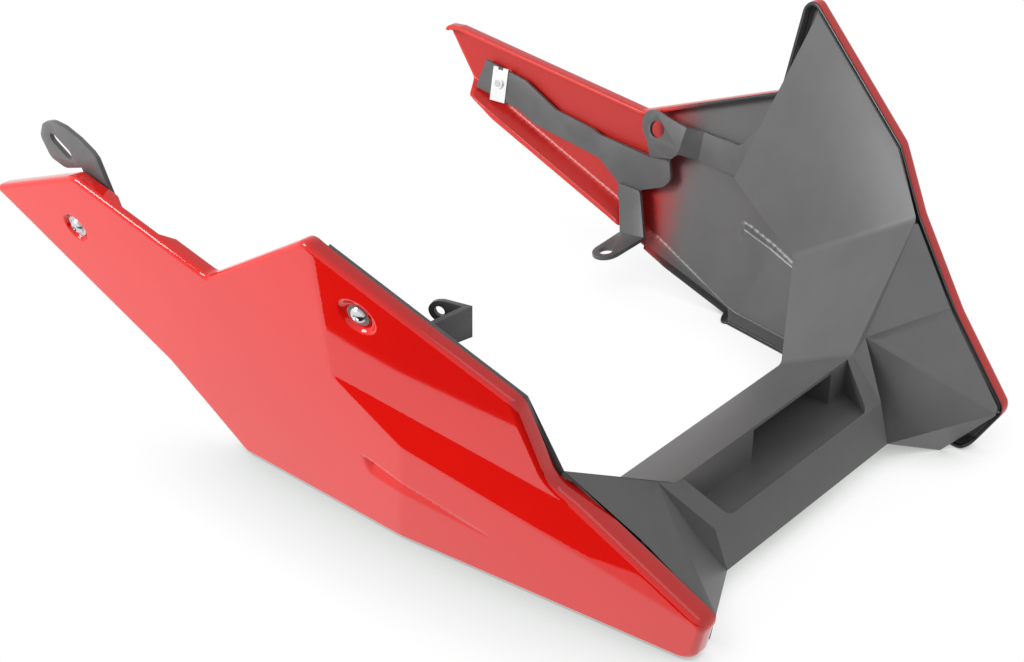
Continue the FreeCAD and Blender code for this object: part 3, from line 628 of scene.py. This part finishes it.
# Radii of the rings round a screw hole, and least gaps from them to the grid and the second row
RINGS = (HOLE_RADIUS, 4.6, 6.0, 7.5, 9.0, 9.8, 10.6, 11.4, 12.2, 13.0, 13.8, 14.6)
RING_GAP = 0.9
SECOND_RING_GAP = 0.7
# Ends of the creases in the side view
CREASE_LOW = (9.0, 0.0)
CREASE_TOP = (51.2, 240.0)
RIDGE_REAR = (59.0, 104.0)
RIDGE_FRONT = (223.0, 56.0)
WEDGE_TOP = (173.0, 102.0)
WEDGE_FRONT = (245.0, 66.0)
CREASES = [(CREASE_LOW, CREASE_TOP), (SCOOP_TOP, SCOOP_TIP), (SCOOP_LOW, SCOOP_TIP),
           (RIDGE_REAR, RIDGE_FRONT), (WEDGE_TOP, RIDGE_REAR), (WEDGE_TOP, WEDGE_FRONT)]


def inside_polygon(polygon, points):
    """True where a point has an odd number of the polygon's sides to its right."""
    result = np.zeros(len(points), bool)
    for (x0, z0), (x1, z1) in zip(polygon, np.roll(polygon, -1, 0)):
        crosses = (z0 > points[:, 1]) != (z1 > points[:, 1])
        at = x0 + (points[:, 1] - z0) * (x1 - x0) / (z1 - z0 if z1 != z0 else 1.0)
        result ^= crosses & (points[:, 0] < at)
    return result


def near_lines(lines, points):
    """Distance from each point to the nearest of some straight lines.

    On each line the nearest place is the point's projection, kept between the line's two ends.
    """
    best = np.full(len(points), np.inf)
    for start, end in lines:
        start, end = np.array(start), np.array(end)
        way = end - start
        t = np.clip((points - start) @ way / (way @ way), 0, 1)
        best = np.minimum(best, np.linalg.norm(points - start - t[:, None] * way, axis=1))
    return best


def near_spots(spots, points):
    """Distance from each point to the nearest of some spots."""
    return np.linalg.norm(points[:, None] - spots[None], axis=2).min(1)


def ribbon(start, end, offsets):
    """Points along a line, in rows at some offsets to its side."""
    start, end = np.array(start, float), np.array(end, float)
    length = np.linalg.norm(end - start)
    way = (end - start) / length
    side = np.array([-way[1], way[0]])
    t = np.linspace(0, length, int(length / RIBBON_STEP) + 1)
    return np.concatenate([start + way * t[:, None] + side * o for o in offsets])


def net_points(seam, second, lines, centres):
    """Grid, ribbons along the lines and a second row, clear of the seam and the screws' rings."""
    low, high = seam.min(0), seam.max(0)
    gx, gz = np.meshgrid(np.arange(low[0], high[0], GRID), np.arange(low[1], high[1], ROW_PITCH))
    gx[1::2] += GRID / 2
    net = np.stack([gx.ravel(), gz.ravel()], 1)
    net = net[near_lines(lines, net) > CREASE_GAP]
    extra = np.concatenate([ribbon(a, b, RIBBON_ROWS) for a, b in lines])
    _, apart = np.unique(np.round(extra / SAME_SPOT), axis=0, return_index=True)
    net = np.concatenate([net, extra[apart]])
    net = net[near_spots(centres, net) > RINGS[-1] + RING_GAP]
    sides = list(zip(seam, np.roll(seam, -1, 0)))
    net = net[inside_polygon(seam, net) & (near_lines(sides, net) > SEAM_GAP)]
    clear = near_spots(centres, second) > RINGS[-1] + SECOND_RING_GAP
    second = second[inside_polygon(seam, second) & (near_lines(sides, second) > SECOND_GAP) & clear]
    return np.concatenate([net, second])


print(len(CREASES), "creases of %.0f mm in all" % sum(np.linalg.norm(np.subtract(a, b)) for a, b in CREASES))

# %% [markdown]
# Joining the net
#
# Delaunay's rule joins the points so that the triangles are as even as they can be, and never
# across the seam or a screw hole, which are given to it as lines to keep. Triangles in the holes,
# outside the seam, or too thin to see are taken out again.

# %% Triangles of the net
RING_POINTS = 48
SLIVER = 1e-4
INSIDE_HOLE = 0.998


def joined(name, flat, seam, centres, starts):
    """Triangles over the net's points, as rows of three indices."""
    count = len(seam)
    loops = [(i, (i + 1) % count) for i in range(count)]
    for start in starts:
        loops += [(start + i, start + (i + 1) % RING_POINTS) for i in range(RING_POINTS)]
    points, _, faces, sources, *_ = delaunay_2d_cdt([Vector(p) for p in flat], loops, [], 0, 1e-6)
    first = np.array([source[0] if source else -1 for source in sources])
    print(name, len(flat), "points in the net,", len(flat) - len(points), "merged,", (first < 0).sum(), "new")
    tris = first[np.array(faces)]
    middle = flat[tris].mean(1)
    keep = inside_polygon(seam, middle)
    keep &= near_spots(centres, middle) > HOLE_RADIUS * INSIDE_HOLE
    one, two, three = (flat[tris[:, k]] for k in range(3))
    area = np.abs((two - one)[:, 0] * (three - one)[:, 1] - (two - one)[:, 1] * (three - one)[:, 0]) / 2
    return tris[keep & (area > SLIVER)]


def edge_faults(faces):
    """How many edges don't have two faces, and how many have two that run along it the same way."""
    ways = faces[:, [0, 1, 1, 2, 2, 0]].reshape(-1, 2)
    _, edge, uses = np.unique(np.sort(ways, 1), axis=0, return_inverse=True, return_counts=True)
    balance = np.bincount(edge.ravel(), np.where(ways[:, 0] < ways[:, 1], 1, -1))
    return (uses != 2).sum(), ((uses == 2) & (balance != 0)).sum()


print("two faces of a strip have %d open edges" % edge_faults(np.array([[0, 1, 2], [2, 1, 3]]))[0])

# %% [markdown]
# Giving the net its thickness
#
# The same net is used twice, once on the outer skin and once 3 mm further in. Behind a screw the
# inner face stands off further, where the panel has a boss. The rows of the rim stand between the
# two. The lip under the left panel is cut back for a short stretch, so that the lower leg passes.

# %% Faces and rim in space
INNER_GROWTH = 1.5
BOSS_RADIUS = 9.8
BOSS_DRAFT = 0.8
LEG_NOTCH = (-69.0, -39.5)
LEG_LIP = 12.4
LEG_RUN = 2.0


def lip_at(x, sign):
    """Depth of the lip along the panel, cut back on the left behind the leg."""
    start, end = LEG_NOTCH
    behind = smooth((x - start) / LEG_RUN) * smooth((end - x) / LEG_RUN) * (sign > 0)
    return LIP - (LIP - LEG_LIP) * behind


def two_sheets(flat, sign, planes, screws, bosses):
    """Outer and inner face over the net: the skin less what is pressed in, and less the bosses."""
    x, z = flat.T
    lip = lip_at(x, sign)
    outer = skin(x, z, 0.0, planes, lip) - SLANT * pressed(x, z, screws)
    inner = skin(x, z, WALL, planes, lip) - SLANT * pressed(x, z, screws, INNER_GROWTH)
    for spot, boss in zip(screws, bosses):
        drop = np.maximum(boss - WALL - DIMPLE_DEPTH, 0.0)
        inner = inner - SLANT * drop * smooth((BOSS_RADIUS - from_screw(spot, x, z)) / BOSS_DRAFT)
    return [np.stack([x, outer, z], 1), np.stack([x, inner, z], 1)]


def rim_sheets(spots, inwards, sign, planes, depth, weight):
    """The rim's rows in space, each moved in by its inset and lowered from the skin by its depth."""
    rows = []
    for inset, deep in rim_rows(depth, weight):
        x, z = (spots + inwards * np.broadcast_to(inset, len(spots))[:, None]).T
        lip = lip_at(x, sign)
        surface = skin(x, z, 0.0, planes, lip)
        lower = skin(x, z, WALL, planes, lip)
        thin = surface + (lower - surface) * deep / WALL
        y = (surface - SLANT * deep) * weight + thin * (1 - weight)
        rows.append(np.stack([x, y, z], 1))
    return rows


print("the panel's lip is %.1f mm deep, and %.1f mm behind the leg" % (lip_at(-150.0, 1), lip_at(-54.0, 1)))

# %% [markdown]
# Sewing the panel together
#
# A band of quads runs from each row of the rim to the next, from the outer sheet over the free edge
# to the inner one. One more band lines each screw hole, which is a ring that was left open in the
# net. Paint covers the outer bands, the free edge has its own finish, and the rest is the inside.
# The mesh is closed, so its volume is known, and its sign says which way the faces point.

# %% Panel builder
# From the place where the panels were measured to the frame's origin
SHIFT = np.array([-0.982, 0.294, 0.0])
LOWER_FACING = 0.2
OUTSIDE, EDGE_FACE, INSIDE = 0, 1, 2
panel_finishes = (looks["red_gloss_plastic"], bare_edge, inside_paint)


def seam_quads(count, total, row_count, starts):
    """Quads from the outer sheet over the rim's rows to the inner one and round each hole.

    With them comes the finish of each: outside, free edge or inside.
    """
    around = np.arange(count)
    after = (around + 1) % count
    bands = [around] + [2 * total + k * count + around for k in range(row_count)] + [total + around]
    rest = len(bands) - 1 - PAINTED_BANDS - EDGE_BANDS
    kinds = [np.repeat([OUTSIDE, EDGE_FACE, INSIDE], np.array([PAINTED_BANDS, EDGE_BANDS, rest]) * count)]
    quads = [np.stack([one, one[after], two[after], two], 1) for one, two in zip(bands[:-1], bands[1:])]
    for start in starts:
        ring = start + np.arange(RING_POINTS)
        follow = start + (np.arange(RING_POINTS) + 1) % RING_POINTS
        quads.append(np.stack([ring, follow, total + follow, total + ring], 1))
        kinds.append(np.full(RING_POINTS, EDGE_FACE))
    return np.concatenate(quads), np.concatenate(kinds)


def panel_mesh(name, vertices, faces, kind):
    """Object with a smooth mesh of points in millimetres, and its faces turned outwards.

    The volume is a sixth of the sum over the triangles of a . (b x c), and below zero where the
    faces point inwards.
    """
    a, b, c = (vertices[faces[:, k]] for k in range(3))
    volume = np.einsum("ij,ij->i", a, np.cross(b, c)).sum() / 6
    if volume < 0:
        faces = faces[:, ::-1]
    mesh = bpy.data.meshes.new(name)
    mesh.from_pydata((vertices * MM).tolist(), [], faces.tolist())
    mesh.polygons.foreach_set("material_index", kind.astype(np.int32))
    mesh.polygons.foreach_set("use_smooth", np.ones(len(faces), bool))
    for material in panel_finishes:
        mesh.materials.append(material)
    piece = bpy.data.objects.new(name, mesh)
    scene.collection.objects.link(piece)
    print(name, len(faces), "triangles, volume %.0f mm3," % abs(volume),
          "%d open and %d turned edges" % edge_faults(faces))
    return piece


def side_panel(name, sign, outline, folds, screws, bosses, depth_of, tail_end):
    """Closed mesh of one side panel, sign -1 for the right side and 1 for the left."""
    spots, inwards = rounded_outline(outline)
    seam = spots + inwards * SEAM_INSET
    second = spots + inwards * (SEAM_INSET + SECOND_ROW)
    count = len(seam)
    lines = CREASES + [((f[0], f[1]), (f[2], f[3])) for f in folds]
    centres = np.array([screw[:2] for screw in screws])
    angle = np.arange(RING_POINTS) * 2 * np.pi / RING_POINTS
    circle = np.stack([np.cos(angle), np.sin(angle)], 1)
    rings = np.concatenate([centre + circle * radius for centre in centres for radius in RINGS])
    flat = np.concatenate([seam, rings, net_points(seam, second, lines, centres)])
    starts = [count + k * len(RINGS) * RING_POINTS for k in range(len(centres))]
    tris = joined(name, flat, seam, centres, starts)

    planes = [fold_plane(*fold) for fold in folds]
    opened = ((spots[:, 0] < tail_end) & (inwards[:, 1] > LOWER_FACING)).astype(float)
    rows = rim_sheets(spots, inwards, sign, planes, smoothed(depth_of(spots, inwards)),
                      smoothed(1.0 - opened))
    vertices = np.concatenate(two_sheets(flat, sign, planes, screws, bosses) + rows)
    quads, kinds = seam_quads(count, len(flat), len(rows), starts)
    faces = np.concatenate([tris, tris[:, ::-1] + len(flat), quads[:, [0, 1, 2]], quads[:, [0, 2, 3]]])
    kind = np.concatenate([np.full(len(tris), OUTSIDE), np.full(len(tris), INSIDE), kinds, kinds])
    mirror = (1, sign, 1)
    return panel_mesh(name, (vertices + SHIFT * mirror) * mirror, faces, kind)


# %% [markdown]
# The right panel
#
# The right panel is the one that faces the photo's camera. Its rim is 11 mm deep, with a lower
# stretch for the rear bracket's tab and a deeper one at the nose, where it closes the gap to the
# keel. Its floor lip is 15.4 mm deep. Along its tail the skin only tips in a little and ends as an
# open edge.

# %% Right panel
RIGHT_OUTLINE = [(-288, 157, 4.4), (-180, 204.5, 14), (-67, 169.5, 8), (45, 243.5, 9), (169.5, 168.5, 12),
                 (178.5, 109, 22), (277.5, 41, 9), (264, 0, 16), (-100, 0, 12), (-152, 55, 60),
                 (-283, 146, 4.4)]
# Two ends of the line that a tail strip turns in below, and its way in for each way down
RIGHT_FOLDS = [(-283, 153, -148, 61, 1.0), (-148, 61, -98, 5, 1.0)]
# Place of each screw, and the radius of its dimple; then the wall's whole depth behind each
RIGHT_SCREWS = [(-201, 155, 11.0), (70, 196, 13.5)]
RIGHT_BOSSES = (6.0, 11.0)
RIGHT_TAIL_END = -96.0
FLOOR_TOP = 6.0
FLOOR_FACING = 0.7
NOTCH = (-147.0, -107.0)
NOTCH_ABOVE = 150.0
NOTCH_RIM = 6.0
NOSE_FROM = 184.0
NOSE_RIM = 15.0


def plain_depth(spots, inwards):
    """11 mm on the rim and 15.4 mm on the floor."""
    return np.where((spots[:, 1] < FLOOR_TOP) & (inwards[:, 1] > FLOOR_FACING), LIP, RIM)


def right_depth(spots, inwards):
    """The plain depth, with less in the notch and more at the nose."""
    x, z = spots.T
    notch = (x > NOTCH[0]) & (x < NOTCH[1]) & (z > NOTCH_ABOVE)
    nose = (x > NOSE_FROM) & (inwards[:, 1] < 0.0)
    return np.where(notch, NOTCH_RIM, np.where(nose, NOSE_RIM, plain_depth(spots, inwards)))


right_panel = side_panel("right_side_panel_skin", -1, RIGHT_OUTLINE, RIGHT_FOLDS, RIGHT_SCREWS,
                         RIGHT_BOSSES, right_depth, RIGHT_TAIL_END)
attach(right_panel, "root")
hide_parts("right_side_panel")

# %% [markdown]
# The left panel
#
# The left panel is nearly the mirror image, but its tail is lower and its strip along the tail
# turns in as a lip, which shows from inside as a light red band.

# %% Left panel
LEFT_OUTLINE = [(-289, 137, 4.4), (-268, 139.5, 6), (-69.5, 127, 8), (48.5, 175.5, 10), (52, 250.5, 9),
                (162, 175, 12), (191.5, 136, 22), (290.5, 35.5, 9), (271, 0, 14), (47, 0, 12),
                (-80.6, 42.4, 60), (-213, 80.6, 10), (-240, 91, 10)]
LEFT_FOLDS = [(-250, 98.5, -80.6, 48.8, 2.4), (-80.6, 48.8, 36, 4, 2.4)]
LEFT_SCREWS = [(-216, 105, 11.0), (70, 196, 13.5)]
LEFT_BOSSES = (6.0, 6.0)
LEFT_TAIL_END = 44.0

left_panel = side_panel("left_side_panel_skin", 1, LEFT_OUTLINE, LEFT_FOLDS, LEFT_SCREWS,
                        LEFT_BOSSES, plain_depth, LEFT_TAIL_END)
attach(left_panel, "root")
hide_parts("left_side_panel")


# %% [markdown]
# Softened folds
#
# A folded bracket or a moulded keel has no sharp edges: each fold has a radius and each cut edge is
# slightly rounded. The solid's own mesh is copied, its doubled points are merged, its flat faces
# are joined, and two bevels round what is left: a wide one on the keel's gentle bends and on the
# corners of a bracket's plate, and a narrow one on every other edge.

# %% Keel and brackets
DOUBLED = 1e-6
FLAT_ANGLE = np.radians(0.5)
ROUNDED_ANGLE = np.radians(20.0)
BROAD_FACE = 0.0012
LONG_BEND = 45.0 * MM
GENTLE = np.radians(45.0)
SHEET = (2.6 * MM, 3.6 * MM)
CORNER_TURN = (np.radians(18.0), np.radians(80.0))
WIDE_RADIUS = 3.5 * MM
WIDE_STEPS = 5
KEEL_EDGE = 0.7 * MM
BRACKET_EDGE = 0.4 * MM
EDGE_STEPS = 3
BRACKETS = ("right_rear_bracket", "right_front_bracket", "left_main_bracket", "left_lower_leg")


def is_bend(edge):
    """Gentle fold between two broad faces."""
    broad = min(face.calc_area() for face in edge.link_faces) > BROAD_FACE
    return broad and edge.calc_length() > LONG_BEND and edge.calc_face_angle(0.0) < GENTLE


def is_corner(edge):
    """Corner of a plate's outline, as long as the sheet is thick."""
    turn = edge.calc_face_angle(0.0)
    return SHEET[0] < edge.calc_length() < SHEET[1] and CORNER_TURN[0] < turn < CORNER_TURN[1]


def merged_copy(source, name, wide_rule):
    """Copy of a mesh with its doubles merged, and a bevel weight of 1 where the rule holds."""
    mesh = source.copy()
    mesh.name = name
    work = bmesh.new()
    work.from_mesh(mesh)
    bmesh.ops.remove_doubles(work, verts=work.verts, dist=DOUBLED)
    bmesh.ops.dissolve_limit(work, angle_limit=FLAT_ANGLE, verts=work.verts, edges=work.edges)
    soft = work.edges.layers.float.new("bevel_weight_edge")
    for face in work.faces:
        face.smooth = True
    for edge in work.edges:
        if len(edge.link_faces) == 2 and edge.is_contiguous:
            edge[soft] = float(wide_rule(edge))
    work.to_mesh(mesh)
    work.free()
    return mesh


def softened(name, edge_radius, wide_rule):
    """Stand-in for a node, rounded widely where the rule says so and by edge_radius elsewhere."""
    mesh = merged_copy(frame["nodes"][name].data, name + "_soft", wide_rule)
    mesh.materials.clear()
    mesh.materials.append(looks[slots[name]])
    piece = bpy.data.objects.new(name + "_soft", mesh)
    scene.collection.objects.link(piece)
    bends = piece.modifiers.new("wide", "BEVEL")
    bends.width = WIDE_RADIUS
    bends.segments = WIDE_STEPS
    bends.use_clamp_overlap = wide_rule is is_corner
    bends.limit_method = "WEIGHT"
    bends.harden_normals = True
    bevel = piece.modifiers.new("rounded", "BEVEL")
    bevel.width = edge_radius
    bevel.segments = EDGE_STEPS
    bevel.limit_method = "ANGLE"
    bevel.angle_limit = ROUNDED_ANGLE
    bevel.harden_normals = True
    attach(piece, "root")
    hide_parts(name)
    print(piece.name, len(mesh.polygons), "faces before the bevel")


softened("front_keel", KEEL_EDGE, is_bend)
for bracket in BRACKETS:
    softened(bracket, BRACKET_EDGE, is_corner)
